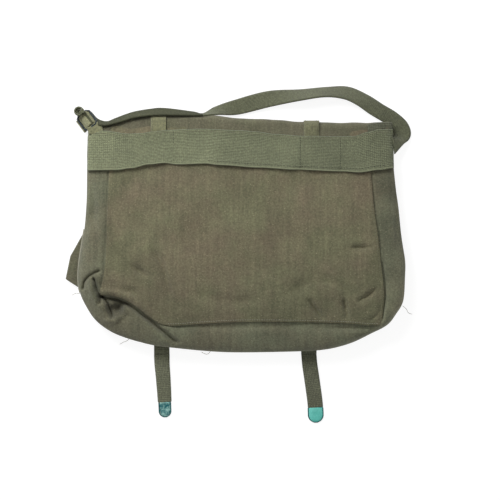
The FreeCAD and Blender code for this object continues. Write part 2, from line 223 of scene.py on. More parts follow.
def canvas(name, colour, aged, bottom_shade_factor=0.82, painted_light_patches=(), uv=False):
    """Cotton duck: plain weave, slubs, uneven dye, painted shade darkening it towards the base, and pale
    flecks.

    The listed round places (x, y, size in metres) have their colour multiplied by a factor: painted shade
    where it is under 1, a painted highlight where it is over 1.
    """
    g = Graph(name, 0.92, sheen=0.12)
    where = g.place(uv)
    warp = g.bands(where, CANVAS_THREAD, "X", 0.6)
    weft = g.bands(where, CANVAS_THREAD * 1.15, "Y", 0.6)
    weave = g.math("MAXIMUM", warp, weft)
    patches = g.ramp(g.noise(where, 17.0, 5.0, 0.6), ((0.38, colour), (0.62, aged)))
    cloud = g.ramp(g.noise(where, 31.0, 4.0), ((0.3, grey(0.84)), (0.72, grey(1.12))))
    tone = g.mix("MULTIPLY", 1.0, patches, cloud)
    lengthwise = g.node("ShaderNodeMapping")
    lengthwise.inputs["Scale"].default_value = (1.0, 0.06, 0.3)
    g.link(where, lengthwise.inputs["Vector"])
    streak = g.noise(lengthwise.outputs["Vector"], 240.0, 3.0)
    streaks = g.ramp(streak, ((0.3, grey(0.86)), (0.7, (1.12, 1.12, 1.1))))
    tone = g.mix("MULTIPLY", 0.9, tone, streaks)
    slub = g.ramp(g.noise(where, 430.0, 2.0), ((0.34, grey(0.76)), (0.68, (1.2, 1.2, 1.18))))
    tone = g.mix("MULTIPLY", 0.9, tone, slub)
    gaps = g.ramp(weave, ((0.0, grey(0.7)), (0.5, WHITE)))
    tone = g.mix("MULTIPLY", 0.55, tone, gaps)
    split = g.node("ShaderNodeSeparateXYZ")
    g.link(where, split.inputs["Vector"])
    # Painted shade, darker towards the base: full about 88 mm below the bag's middle and gone 6 mm below
    # it.
    low_down = g.math("ADD", g.math("MULTIPLY", split.outputs["Y"], 8.0), 0.9)
    painted_bottom_shade = g.ramp(low_down, ((0.2, shade((1.0, 1.02, 1.02), bottom_shade_factor)), (0.85, WHITE)))
    tone = g.mix("MULTIPLY", 1.0, tone, painted_bottom_shade)
    plan = g.node("ShaderNodeMapping")
    plan.inputs["Scale"].default_value = (1.0, 1.0, 0.0)
    g.link(where, plan.inputs["Vector"])
    # Round patches of painted shade, or of painted highlight where the factor is over 1.
    for x, y, size, factor in painted_light_patches:
        away = g.node("ShaderNodeVectorMath", operation="DISTANCE")
        g.link(plan.outputs["Vector"], away.inputs[0])
        away.inputs[1].default_value = (x, y, 0.0)
        near = g.math("DIVIDE", away.outputs["Value"], size)
        painted_patch_tone = g.ramp(near, ((0.4, grey(factor)), (1.0, WHITE)))
        tone = g.mix("MULTIPLY", 1.0, tone, painted_patch_tone)
    fleck = g.ramp(g.noise(where, 700.0, 0.0), ((0.74, grey(0.0)), (0.79, WHITE)))
    tone = g.mix("MIX", g.math("MULTIPLY", fleck, 0.55), tone, (*shade(colour, 1.9), 1))
    g.colour(tone)
    height = g.math("ADD", weave, g.math("MULTIPLY", g.noise(where, 160.0), 1.6))
    g.bump(height, 0.0004)
    return g.material


def webbing(name, colour, rib=0.0017, pick=0.0011, relief=0.75, sheen=0.15):
    """Woven tape: ribs run along it and picks across, over uneven dye. It darkens towards +X as painted
    shade.
    """
    g = Graph(name, 0.9, sheen=sheen)
    where = g.place(uv=True)
    ribs, picks = g.bands(where, rib, "X", 0.3), g.bands(where, pick, "Y", 0.3)
    height = g.math("ADD", ribs, g.math("MULTIPLY", picks, 0.6))
    cloud = g.noise(g.place(), 22.0, 4.0)
    tone = g.ramp(cloud, ((0.3, shade(colour, 0.85)), (0.55, colour), (0.75, shade(colour, 1.15))))
    gaps = g.ramp(height, ((0.1, grey(0.62)), (1.0, grey(1.12))))
    tone = g.mix("MULTIPLY", relief, tone, gaps)
    fuzz = g.ramp(g.noise(g.place(), 460.0, 1.0), ((0.38, grey(0.78)), (0.68, (1.2, 1.2, 1.16))))
    tone = g.mix("MULTIPLY", 0.85, tone, fuzz)
    # Painted shade: the tape darkens towards +X, where less light falls.
    split = g.node("ShaderNodeSeparateXYZ")
    g.link(g.place(), split.inputs["Vector"])
    rightwards = g.math("ADD", g.math("MULTIPLY", split.outputs["X"], 5.0), 0.5)
    fade = g.ramp(rightwards, ((0.0, WHITE), (1.0, (0.81, 0.81, 0.82))))
    g.colour(g.mix("MULTIPLY", 1.0, tone, fade))
    g.bump(height, 0.0006)
    return g.material


def metal(name, dark, bright, roughness, metallic, wear):
    """Worn metal: two tones broken up by noise of scale wear, with small pits."""
    g = Graph(name, roughness, metallic=metallic)
    where = g.place()
    patches = g.ramp(g.noise(where, wear, 5.0, 0.65), ((0.42, dark), (0.58, bright)))
    g.colour(patches)
    g.bump(g.noise(where, wear * 14, 3.0), 0.0003)
    return g.material


def thread_material(name, colour):
    g = Graph(name, 0.8, sheen=0.1)
    twist = g.bands(g.place(), 0.0006, "DIAGONAL")
    g.colour(g.ramp(twist, ((0.2, shade(colour, 0.75)), (0.8, shade(colour, 1.15)))))
    return g.material


BAND = (0.194, 0.211, 0.124)
WEB = (0.172, 0.183, 0.106)
CLOSURE = (0.268, 0.268, 0.148)
TAIL = (0.168, 0.176, 0.113)
# Places of the gusset with painted shade in its recesses and near the band, and one painted highlight
# lower on the right: x, y and size in metres, and the colour's factor.
PAINTED_LIGHT_PATCHES = (
    (-0.159, -0.069, 0.0175, 0.66), (-0.150, -0.069, 0.016, 0.84), (0.201, 0.092, 0.032, 0.76),
    (0.209, 0.03, 0.034, 0.8), (0.204, -0.058, 0.034, 1.18),
)
materials = {
    "panel": canvas("panel_canvas", (0.208, 0.176, 0.111), (0.178, 0.174, 0.099)),
    "flap": canvas("flap_canvas", (0.163, 0.151, 0.099), (0.153, 0.152, 0.092), uv=True),
    "gusset": canvas("gusset_canvas", (0.172, 0.160, 0.102), (0.158, 0.164, 0.104), bottom_shade_factor=0.94,
                     painted_light_patches=PAINTED_LIGHT_PATCHES),
    "lining": canvas("lining_canvas", (0.150, 0.142, 0.095), (0.142, 0.145, 0.092)),
    "band": webbing("band_webbing", BAND, rib=0.0021, pick=0.0026, relief=0.34),
    "web": webbing("strap_webbing", WEB),
    "closure": webbing("closure_webbing", CLOSURE),
    "tail": webbing("tail_webbing", TAIL, rib=0.002, pick=0.0024),
    # Painted shade: a darker copy of the strap webbing for the run past the slide and for the shadow line
    # in the slide.
    "web_shaded": webbing("strap_painted_shade", shade(WEB, 0.5), sheen=0.0),
    "verdigris": metal("verdigris", (0.115, 0.50, 0.43), (0.175, 0.62, 0.54), 0.6, 0.1, 50.0),
    "tarnish": metal("tarnished_brass", (0.018, 0.135, 0.15), (0.30, 0.53, 0.48), 0.5, 0.3, 170.0),
    # Painted shade on the rounded edges of the metal ends.
    "rim": metal("tip_edge_painted_shade", (0.012, 0.075, 0.08), (0.03, 0.14, 0.14), 0.5, 0.4, 150.0),
    "steel": metal("blackened_steel", (0.012, 0.016, 0.018), (0.045, 0.055, 0.058), 0.4, 0.8, 150.0),
    "thread": thread_material("sewing_thread", (0.20, 0.19, 0.12)),
    "pale_thread": thread_material("pale_thread", (0.32, 0.31, 0.24)),
    "dark_thread": thread_material("dark_thread", (0.075, 0.08, 0.05)),
    "selvedge": thread_material("selvedge_thread", (0.212, 0.228, 0.138)),
}

# ---- mesh helpers


def finish_piece(obj, body, look, *nodes):
    """Give a piece its look, the body it rides on and the CAD nodes it replaces."""
    obj.data.materials.append(materials[look])
    if body:
        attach(obj, body)
    if nodes:
        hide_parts(*nodes)
    return obj


def link_mesh(name, bm):
    mesh = bpy.data.meshes.new(name)
    bm.to_mesh(mesh)
    bm.free()
    for face in mesh.polygons:
        face.use_smooth = True
    return add_object(name, mesh)


def travel_at(line, k):
    """Direction of a line at its point k, from the points beside it."""
    return line[min(k + 1, len(line) - 1)] - line[max(k - 1, 0)]


def border(lines, columns):
    """Places (line, column) in order round a grid of this many cells each way."""
    path = [(0, i) for i in range(columns + 1)] + [(j, columns) for j in range(1, lines + 1)]
    path += [(lines, i) for i in range(columns - 1, -1, -1)]
    return path + [(j, 0) for j in range(lines - 1, 0, -1)]


def cloth_grid(name, rows, thickness):
    """Closed slab of cloth through a grid of points, with its own flat coordinates in metres."""
    count_v, count_u = len(rows), len(rows[0])
    columns = list(zip(*rows))
    normals = []
    for j in range(count_v):
        normals.append([travel_at(rows[j], i).cross(travel_at(columns[i], j)).normalized()
                        for i in range(count_u)])
    bm = bmesh.new()
    uv = bm.loops.layers.uv.new("cloth")
    half = thickness / 2
    across = [0.0]
    middle = rows[count_v // 2]
    for i in range(1, count_u):
        across.append(across[-1] + (middle[i] - middle[i - 1]).length)
    along = [0.0]
    for j in range(1, count_v):
        step = rows[j][count_u // 2] - rows[j - 1][count_u // 2]
        along.append(along[-1] + step.length)

    def layer(sign):
        return [[bm.verts.new(rows[j][i] + normals[j][i] * half * sign) for i in range(count_u)]
                for j in range(count_v)]

    top, under = layer(1), layer(-1)

    def quad(corners, places):
        face = bm.faces.new(corners)
        for loop, (u, v) in zip(face.loops, places):
            loop[uv].uv = (u, v)

    for j in range(count_v - 1):
        for i in range(count_u - 1):
            cells = [(j, i), (j, i + 1), (j + 1, i + 1), (j + 1, i)]
            places = [(across[b], along[a]) for a, b in cells]
            quad([top[a][b] for a, b in cells], places)
            quad([under[a][b] for a, b in cells][::-1], places[::-1])
    rim = border(count_v - 1, count_u - 1)
    for (a, b), (c, d) in zip(rim, rim[1:] + rim[:1]):
        places = [(across[b], along[a])] * 2 + [(across[d], along[c])] * 2
        quad([top[a][b], under[a][b], under[c][d], top[c][d]], places)
    bmesh.ops.recalc_face_normals(bm, faces=bm.faces)
    return link_mesh(name, bm)


def sides(travel):
    """The level direction across a unit direction, and the one square to both."""
    across = travel.cross(Vector((0, 0, 1))).normalized()
    return across, across.cross(travel)


def add_ring(bm, centre, across, up, radius, corners):
    ring = []
    for corner in range(corners):
        a = 2 * math.pi * corner / corners
        ring.append(bm.verts.new((centre + (across * math.cos(a) + up * math.sin(a)) * radius) * MM))
    return ring


def join_rings(bm, rings):
    """Faces between rings that follow each other, with both ends closed."""
    for first, second in zip(rings, rings[1:]):
        for corner in range(len(first)):
            following = (corner + 1) % len(first)
            bm.faces.new((first[corner], first[following], second[following], second[corner]))
    bm.faces.new(rings[0][::-1])
    bm.faces.new(rings[-1])


def tube(name, line, radius, body, look):
    """Round cord of even radius along a line of points in millimetres."""
    bm = bmesh.new()
    rings = []
    for k, p in enumerate(line):
        across, up = sides(travel_at(line, k).normalized())
        rings.append(add_ring(bm, p, across, up, radius, 8))
    join_rings(bm, rings)
    return finish_piece(link_mesh(name, bm), body, look)


def spline(points, count):
    """Points evenly spaced in parameter on a Catmull-Rom curve through the given ones."""
    points = [Vector(p) for p in points]
    padded = [points[0] * 2 - points[1], *points, points[-1] * 2 - points[-2]]
    result = []
    for k in range(count):
        place = k / (count - 1) * (len(points) - 1)
        i = min(int(place), len(points) - 2)
        t = place - i
        a, b, c, d = padded[i:i + 4]
        result.append(0.5 * (2 * b + (c - a) * t + (2 * a - 5 * b + 4 * c - d) * t * t
                             + (3 * b - a - 3 * c + d) * t ** 3))
    return result


def even(points, step):
    """The same line with points a fixed distance apart."""
    lengths = [0.0]
    for a, b in zip(points, points[1:]):
        lengths.append(lengths[-1] + (b - a).length)
    count = max(2, round(lengths[-1] / step) + 1)
    result, i = [], 0
    for k in range(count):
        goal = lengths[-1] * k / (count - 1)
        while i < len(points) - 2 and lengths[i + 1] < goal:
            i += 1
        part = (goal - lengths[i]) / max(lengths[i + 1] - lengths[i], 1e-9)
        result.append(points[i].lerp(points[i + 1], min(max(part, 0.0), 1.0)))
    return result


def curve_value(pairs, x):
    """Smooth value at x through (x, value) pairs."""
    if x <= pairs[0][0]:
        return pairs[0][1]
    for (x0, y0), (x1, y1) in zip(pairs, pairs[1:]):
        if x <= x1:
            t = (x - x0) / (x1 - x0)
            return y0 + (y1 - y0) * t * t * (3 - 2 * t)
    return pairs[-1][1]


def straight_value(pairs, x):
    """Value at x on straight lines through (x, value) pairs."""
    for (x0, y0), (x1, y1) in zip(pairs, pairs[1:]):
        if x <= x1:
            return y0 + (y1 - y0) * max(0.0, (x - x0) / (x1 - x0))
    return pairs[-1][1]


def gauss(d, width):
    return math.exp(-(d / width) ** 2)


def from_segment(p, a, b):
    """Distance in plan from p to the segment a-b, and how far along it the nearest point is."""
    ax, ay, bx, by = a[0], a[1], b[0], b[1]
    dx, dy = bx - ax, by - ay
    t = max(0.0, min(1.0, ((p.x - ax) * dx + (p.y - ay) * dy) / (dx * dx + dy * dy)))
    return math.hypot(p.x - ax - dx * t, p.y - ay - dy * t), t


# Soft creases of the cloth in plan: two ends, width and depth (a ridge has a negative depth).
CREASES = (
    ((-164, -64), (-156, -78), 8.5, 8.5), ((-158, -66), (-149, -72), 8.0, 6.5),
    ((-184, -31), (-190, -42), 4.0, -3.0), ((-190, -42), (-190, -54), 4.0, -2.5),
    ((-174, -88), (-160, -85), 3.5, -3.0), ((-160, -85), (-149, -79), 3.5, -3.5),
    ((-149, -79), (-146, -71), 3.5, -3.5), ((-146, -71), (-132, -74), 4.0, -2.5),
    ((-176, -49), (-158, -51), 4.0, -2.5), ((-158, -51), (-139, -58), 4.0, -2.5),
    ((-139, -58), (-115, -77), 4.0, -2.5), ((-112.9, 5), (-99.6, -13), 4.6, 3.6),
    ((-99.6, -13), (-93, -38), 4.6, 3.9), ((-93, -38), (-89, -56), 5.0, 3.0),
    ((-139, -16), (-117, -29), 5.0, 3.8), ((-150, -46), (-128, -50), 5.5, 2.6),
    ((14, -8), (38, -24), 8.0, 2.4), ((-60, -52), (-6, -62), 9.0, 3.0),
    ((-6, -62), (24, -58), 7.0, 2.4), ((143, 6), (171, 10), 4.5, 2.6),
    ((92, -61), (109, -83), 4.2, 4.4), ((157, -61), (180, -47), 5.0, 3.0),
    ((135, -55), (140, -79), 4.0, 4.4), ((64, -50), (94, -36), 8.0, 2.6),
    ((100, -28), (130, -41), 7.0, 3.0), ((127, -40), (150, -52), 5.0, 2.0),
    ((202, 90), (206, 14), 5.0, 3.0), ((104, -96), (186, -97), 4.0, 4.0),
    ((-84, -96), (104, -93), 3.5, 2.2), ((-20, 92), (30, 60), 20.0, 2.2),
    ((60, 30), (120, -20), 18.0, 2.4), ((-150, 60), (-110, 20), 16.0, 2.4),
    ((-70, 60), (-40, 0), 22.0, 2.4), ((-203, 20), (-188, 60), 6.0, 2.4),
    ((40, 84), (90, 96), 14.0, 2.0), ((-190, 96), (-186, 20), 5.0, 2.4),
)
# Sharp folds: a line of points, half width of the valley and its depth.
FOLDS = (
    (((-202, -45), (-200, -36), (-194, -29.5), (-187, -25), (-180.5, -22)), 3.0, 6.5),
    (((-187, -33), (-184.5, -43.2), (-181.3, -52), (-179.3, -63)), 3.6, 11.0),
    (((186.6, -12), (189.8, -38), (190.2, -56), (188.8, -68), (186.8, -82)), 2.8, 3.2),
    (((-178, -54), (-170.5, -64.5), (-164, -82.5)), 3.8, 14.0),
    (((-178, -55.5), (-158, -59), (-145, -64.5), (-130, -75), (-115.5, -86), (-103, -97), (-92, -105.5),
      (-82, -113.5)), 4.4, 10.5),
    (((92, -61), (98, -71), (107, -83)), 3.4, 2.8),
    (((137.5, -61), (139, -71), (141, -82)), 3.2, 2.4),
    (((150, 9.5), (161, 7.6), (173, 9)), 3.0, 2.4),
    (((171, -84.5), (179, -80.5), (183.5, -72)), 3.6, 2.2),
    (((157, -60), (167, -54.5), (177, -46.5)), 3.6, 2.0),
)


def cloth_lift(p):
    """Height that creases, folds and slack add to the cloth at a place in plan, in millimetres."""
    lift = 0.0
    for a, b, width, depth in CREASES:
        distance, t = from_segment(p, a, b)
        taper = 0.45 + 0.85 * math.sin(math.pi * min(max(t, 0.05), 0.95))
        lift -= depth * taper * gauss(distance, width)
    for line, width, depth in FOLDS:
        distance = min(from_segment(p, a, b)[0] for a, b in zip(line, line[1:]))
        lift -= depth * max(0.0, 1 - distance / width) ** 1.2
        lift += 0.12 * depth * gauss(distance - 1.8 * width, width)
    slack = noise.noise(Vector((p.x / 58, p.y / 44, 3.1))) * 3.0
    ripple = noise.noise(Vector((p.x / 19, p.y / 23, 8.4))) * 0.9
    fine = noise.noise(Vector((p.x / 7, p.y / 8, 1.7))) * 0.25
    return lift + slack + ripple + fine


# ---- body of the bag

# Round the bag from the mouth's left end down, along the base and up to its right end:
# the back panel's seam (x, y) and the outline of the bag beside it (x, y).
STATIONS = (
    (-166, 166, -184, 164), (-167, 156, -194.5, 154), (-168, 132, -196.5, 133),
    (-167.6, 106, -196.6, 108), (-169, 70, -197, 70), (-170, 30, -199.8, 35),
    (-171, -3, -206.5, -8), (-174, -30, -208, -33), (-178.5, -51, -205, -52),
    (-169, -52.5, -196, -70), (-158, -54.5, -184, -88), (-142.5, -60.5, -168, -100),
    (-128, -70.5, -148, -109), (-113.5, -82, -126, -115), (-92, -92, -100, -120),
    (-50, -90, -52, -125.6), (0, -87.5, 0, -127.5), (60, -87.5, 62, -127.3),
    (106, -88.5, 108, -124.2), (140, -89.5, 141, -117), (170, -92, 170, -104),
    (183.4, -89.5, 191, -93), (186, -74, 204, -79), (187.6, -57, 213, -61), (186.6, -40, 216, -32),
    (183, -9, 215.5, -10), (180.4, 17, 212.6, 16), (175.6, 52, 208.5, 52), (173, 78, 205.4, 80),
    (171.5, 102, 202.5, 103), (171, 130, 200.6, 130), (170, 166, 197, 165),
)
AROUND = 435
SEAM = spline([(a, b, 0) for a, b, _, _ in STATIONS], AROUND)
RIM = spline([(c, d, 0) for _, _, c, d in STATIONS], AROUND)
per_station = (AROUND - 1) / (len(STATIONS) - 1)
LEFT_CORNER, RIGHT_CORNER = round(8 * per_station), round(21 * per_station)
# Rounding of the bag's side: a superellipse, whose rim lies this share of the way up from the front.
ROUNDING, FULLNESS, RIM_SHARE = 0.62, 0.85, 0.42


def back_z(x, y):
    """Outer face of the back panel: low at the mouth, full at the base, sagging in its middle."""
    run = (MOUTH_Y - y) / (MOUTH_Y + 90)
    rise = 15.2 + 17.5 * math.sin(min(max(run, 0.0), 1.0) * math.pi * 0.68) ** 1.15
    sag = 3.0 * gauss(x / 110, 1.0) * gauss((y + 5) / 70, 1.0)
    return rise - sag


def seam_point(k):
    p = SEAM[k]
    return Vector((p.x, p.y, back_z(p.x, p.y) - 0.8))


def coons_point(left, right, top, bottom, u, v):
    """Point inside four edge curves, given as functions of 0 to 1."""
    a = left(v) * (1 - u) + right(v) * u
    b = top(u) * (1 - v) + bottom(u) * v
    c = (top(0) * (1 - v) + bottom(0) * v) * (1 - u) + (top(1) * (1 - v) + bottom(1) * v) * u
    return a + b - c


def along_curve(points):
    """Function of 0 to 1 that gives the point that far along a line."""
    def at(t):
        place = t * (len(points) - 1)
        i = min(int(place), len(points) - 2)
        return points[i].lerp(points[i + 1], place - i)
    return at


def panel_rows(edge, lift, columns, lines):
    """Grid over the area inside the seam, from the mouth down to the base."""
    left = along_curve(edge[:LEFT_CORNER + 1])
    base = along_curve(edge[LEFT_CORNER:RIGHT_CORNER + 1])
    right = along_curve(edge[RIGHT_CORNER:][::-1])
    top = along_curve([edge[0], edge[-1]])
    rows = []
    for j in range(lines + 1):
        row = []
        for i in range(columns + 1):
            p = coons_point(left, right, top, base, i / columns, j / lines)
            row.append(lift(p, min(i, columns - i) / columns, min(j, lines - j) / lines))
        rows.append(row)
    return rows


def edge_fade(u, v):
    """Creases die away at the panel's seams, fully at the sides and mostly at the base."""
    return min(1.0, u * 14) * min(1.0, 0.3 + v * 14)


PANEL_OVERLAP = 0.8


def build_back_panel():
    middle = Vector((0, 30, 0))
    edge = [seam_point(k) for k in range(AROUND)]
    edge = [p + (p - middle).normalized() * PANEL_OVERLAP for p in edge]

    def lift(p, u, v):
        z = back_z(p.x, p.y) + cloth_lift(p) * edge_fade(u, v) + 0.3
        return mm(p.x, p.y, z)

    obj = cloth_grid("back_panel_cloth", panel_rows(edge, lift, 190, 140), 1.3 * MM)
    return finish_piece(obj, "bag", "panel", "back_panel")


def build_front_panel():
    edge = [Vector((p.x * 0.94 + q.x * 0.06, p.y * 0.9 + q.y * 0.1, 0)) for p, q in zip(SEAM, RIM)]

    def lift(p, u, v):
        slack = noise.noise(Vector((p.x / 50, p.y / 44, 5.5))) * 0.5
        return mm(p.x, p.y, FRONT_Z + 0.8 + slack * min(1.0, u * 12))

    obj = cloth_grid("front_panel_cloth", panel_rows(edge, lift, 90, 70), 1.2 * MM)
    return finish_piece(obj, "bag", "lining", "front_panel")


BULGE_STEPS = 64


def gusset_point(k, step):
    """Point on the gusset, from the back seam (step 0) over the rim to the front seam."""
    seam, rim = seam_point(k), RIM[k]
    reach = math.sin(math.pi * step / BULGE_STEPS)
    roundness = math.sqrt(max(0.0, 1 - reach ** (2 / ROUNDING))) ** FULLNESS
    height = roundness if step * 2 <= BULGE_STEPS else -roundness
    floor = FRONT_Z + 0.4
    rim_z = floor + (seam.z - floor) * RIM_SHARE
    span = seam.z - rim_z if height > 0 else rim_z - floor
    inner = seam if height > 0 else seam * 0.94 + Vector((rim.x, rim.y, seam.z)) * 0.06
    x, y = inner.x + (rim.x - inner.x) * reach, inner.y + (rim.y - inner.y) * reach
    z = rim_z + span * height
    if height > 0:
        hump = math.sin(math.pi * reach) * min(1.0, max(0.0, (60 - y) / 120))
        fade = min(1.0, reach * 12) * height ** 0.4
        dip = 1.2 - 0.35 * max(-1.0, min(1.0, x / 60))
        z += 1.6 * hump + cloth_lift(Vector((x, y, 0))) * fade - dip * gauss(reach - 0.07, 0.05)
    wave = noise.noise(Vector((k / 20, 4.4 * step / BULGE_STEPS, 2.2))) * 1.4 * reach
    outward = Vector((rim.x - seam.x, rim.y - seam.y, 0)).normalized()
    return Vector((x, y, z)) + outward * wave


def build_gusset():
    rows = [[gusset_point(k, step) * MM for k in range(AROUND)] for step in range(BULGE_STEPS + 1)]
    obj = cloth_grid("gusset_cloth", rows, 1.3 * MM)
    return finish_piece(obj, "bag", "gusset", "gusset")


build_back_panel()
build_front_panel()
build_gusset()

# ---- top surface under the band and the fold

REACH_START, REACH_STOP = -40, 171


def reach_table(curve, side):
    """Distance of a curve from the middle line at each whole millimetre of the table."""
    part = [p for p in curve if p.x * side > 0 and p.y > REACH_START - 4]
    return [abs(min(part, key=lambda p: abs(p.y - y)).x) for y in range(REACH_START, REACH_STOP)]


REACH = {side: (reach_table(SEAM, side), reach_table(RIM, side)) for side in (-1, 1)}


def side_reach(y, x):
    """Seam and rim distances from the middle line at height y, on the side x lies on."""
    place = min(max(y - REACH_START, 0.0), REACH_STOP - REACH_START - 1.1)
    i = int(place)
    return [row[i] + (row[i + 1] - row[i]) * (place - i) for row in REACH[-1 if x < 0 else 1]]


def top_z(x, y):
    """Height of the bag's upper surface at the mouth end, rounding off at both sides."""
    seam, rim = side_reach(y, x)
    level = back_z(math.copysign(min(abs(x), seam), x), y)
    if abs(x) <= seam:
        return level
    reach = min(1.0, (abs(x) - seam) / max(rim - seam, 1.0))
    cosine = reach ** (1 / ROUNDING)
    height = math.sqrt(max(0.0, 1 - cosine * cosine)) ** FULLNESS
    rim_z = FRONT_Z + (level - FRONT_Z) * RIM_SHARE
    return rim_z + (level - rim_z) * height


BAND_TOP = (
    (-196, 160.6), (-176, 160.4), (-142, 156.4), (-128, 156.8), (-110, 159.3), (-94, 161.2), (-50, 163),
    (0, 161), (22, 159.4), (48, 156), (84, 153.4), (134, 152.9), (150, 153.4), (168, 158.5), (182, 162),
    (201, 163),
)
BAND_BASE = (
    (-196, 108.4), (-158, 108.6), (-140, 111), (-116, 116), (-96, 117.9), (-80, 116), (-42, 117),
    (-26, 115.2), (28, 111.8), (70, 109.4), (134, 107), (156, 105.6), (184, 109), (201, 111.6),
)
BAND_LEFT, BAND_LENGTH = -196.4, 397.6
# Where stitches across the band hold it down.
BAND_SEWN = (-85, 80, 132)
# Middle line of each closure strap where it crosses the fold, and at the flap's far end.
WEBS = {"left": (-104.3, -100.8), "right": (94.9, 91.8)}


def band_point(x, part):
    """Point on the band, part 0 at its edge towards the mouth and 1 at its lower edge."""
    y = curve_value(BAND_TOP, x) * (1 - part) + curve_value(BAND_BASE, x) * part
    over_web = max(gauss(x - centre, 15) for centre, _ in WEBS.values())
    z = top_z(x, y) + 2.0 + 1.5 * over_web * max(0.0, 1 - part * 2.4)
    held = max(gauss(x - line, 9) for line in BAND_SEWN)
    loose = 1.0 - 0.75 * held
    z += loose * (3.2 * part ** 4 + 0.5 * (1 - part) ** 4)
    z += loose * noise.noise(Vector((x / 34, y / 22, 9.3))) * 1.1
    z += cloth_lift(Vector((x, y, 0))) * 0.35
    return mm(x, y, z)


def build_band():
    columns, lines = 230, 26
    rows = []
    for j in range(lines + 1):
        places = [BAND_LEFT + BAND_LENGTH * i / columns for i in range(columns + 1)]
        rows.append([band_point(x, j / lines) for x in places])
    # Rows run across the band, so that its ribs run along it.
    turned = [list(column) for column in zip(*rows)]
    obj = cloth_grid("back_band_webbing", turned, 1.7 * MM)
    finish_piece(obj, "bag", "band", "back_band")


build_band()

# ---- flap: back strip, fold and front

FOLD_LINE = (
    (-186, 165.2), (-172, 168.4), (-161, 171.4), (-140, 176.8), (-117, 179.8), (-94, 180.4), (-45, 180.6),
    (3, 177.0), (28, 175.6), (84, 172), (128, 170.5), (167, 170.5), (180, 171.5), (193, 172),
)
# How far the half turn stands out past the bag, and the height of the flap's front under it.
FOLD_OUT, FOLD_IN = 6.8, 2.4
# The flap's two side edges: y and x of points up from its free end.
FLAP_LEFT = (
    (-54, -186), (-45, -208), (-33, -226.5), (-3, -220.5), (31, -201.5), (100, -191), (150, -188),
    (180, -184),
)
FLAP_RIGHT = ((-54, 168), (-34, 188), (60, 190), (146, 191), (180, 196))
FLAP_START, FLAP_WIDTH = -186, 378
# Where the flap's width is read for its back strip and the turn.
FOLD_Y = 176


def fold_point(x, j, steps, lift=0.0, back_start=150.0, front_end=-52.0):
    """Point j of the line over the mouth at x: back, half turn, front. lift moves it outwards."""
    back, turn, front = steps
    centre_y = curve_value(FOLD_LINE, x) - FOLD_OUT
    top = max(top_z(x, min(centre_y, 164)) + 0.6, HINGE_Z + 2.2)
    middle, radius = (top + FOLD_IN) / 2, (top - FOLD_IN) / 2
    if j < back:
        y = back_start + (centre_y - back_start) * j / back
        return Vector((x, y, (top_z(x, y) + 0.7) * (1 - j / back) + top * j / back + lift))
    if j <= back + turn:
        a = math.pi * (0.5 - (j - back) / turn)
        y = centre_y + (FOLD_OUT + lift) * math.cos(a)
        return Vector((x, y, middle + (radius + lift) * math.sin(a)))
    y = centre_y + (front_end - centre_y) * (j - back - turn) / front
    return Vector((x, y, FOLD_IN - lift))


def build_flap():
    columns, steps = 170, (10, 18, 120)
    turned = steps[0] + steps[1] + 1
    rows = []
    for j in range(sum(steps) + 1):
        row = []
        for i in range(columns + 1):
            u = i / columns
            y = FOLD_Y
            if j >= turned:
                y = fold_point(FLAP_START + FLAP_WIDTH * u, j, steps).y
            left, right = straight_value(FLAP_LEFT, y), curve_value(FLAP_RIGHT, y)
            x = left + (right - left) * u
            q = fold_point(x, j, steps)
            if j >= turned:
                corner = gauss(math.hypot(x + 214, y + 30), 26)
                under = min(1.0, (j - turned) / 12)
                q.z += under * (noise.noise(Vector((x / 40, y / 38, 6.1))) * 0.25 + 2.2 * corner)
            else:
                q.z += noise.noise(Vector((x / 26, j / 9, 4.4))) * 0.9
                q.y += noise.noise(Vector((x / 21, j / 12, 7.4))) * 0.9
            row.append(q * MM)
        rows.append(row)
    obj = cloth_grid("flap_cloth", rows, 1.1 * MM)
    finish_piece(obj, None, "flap", "flap_back_strip", "flap_panel")
    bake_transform(obj)
    return obj


RIBBON_COLUMNS = 8
WEB_WIDTH = 20.2
WEB_STEPS = (16, 18, 70)
# y where a closure strap starts under the band and where its free tail begins.
WEB_START, WEB_FOOT = 144, -131.3


def web_rows(centre_line, widths, crown):
    """Ribbon across a line of (point, across, normal), slightly crowned, with a width for each."""
    rows = []
    for (point, across, normal), width in zip(centre_line, widths):
        row = []
        for i in range(RIBBON_COLUMNS + 1):
            t = -1 + 2 * i / RIBBON_COLUMNS
            row.append((point + across * (t * width / 2) + normal * (crown * (1 - t * t))) * MM)
        rows.append(row)
    return rows


def build_closure(side, centre, foot):
    """Closure strap: from under the band, over the fold and down the flap's outer face."""
    back, turn, _ = WEB_STEPS
    line = []
    for j in range(sum(WEB_STEPS) + 1):
        p = fold_point(centre, j, WEB_STEPS, lift=1.55, back_start=WEB_START, front_end=WEB_FOOT)
        drift = (foot - centre) * min(1.0, max(0.0, (160 - p.y) / 290)) if j > back + turn else 0.0
        tucked = 0.9 * min(1.0, max(0.0, (163 - p.y) / 5)) if j < back else 0.0
        line.append(Vector((p.x + drift, p.y, max(p.z - tucked, 0.95))))
    across = Vector((1, 0, 0))
    frames = [(p, across, travel_at(line, k).cross(across).normalized() * -1) for k, p in enumerate(line)]
    rows = web_rows(frames, [WEB_WIDTH] * len(frames), 0.0)
    foot_from = len(rows) - 12
    foot_piece = cloth_grid(side + "_closure_foot", rows[foot_from - 1:], 1.7 * MM)
    finish_piece(foot_piece, "flap", "tail", side + "_closure_strap")
    obj = cloth_grid(side + "_closure_webbing", rows[:foot_from], 1.7 * MM)
    finish_piece(obj, None, "closure", side + "_closure_web_back", side + "_closure_strap")
    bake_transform(obj)


build_flap()
for side, (centre, foot) in WEBS.items():
    build_closure(side, centre, foot)

# ---- tails and tips

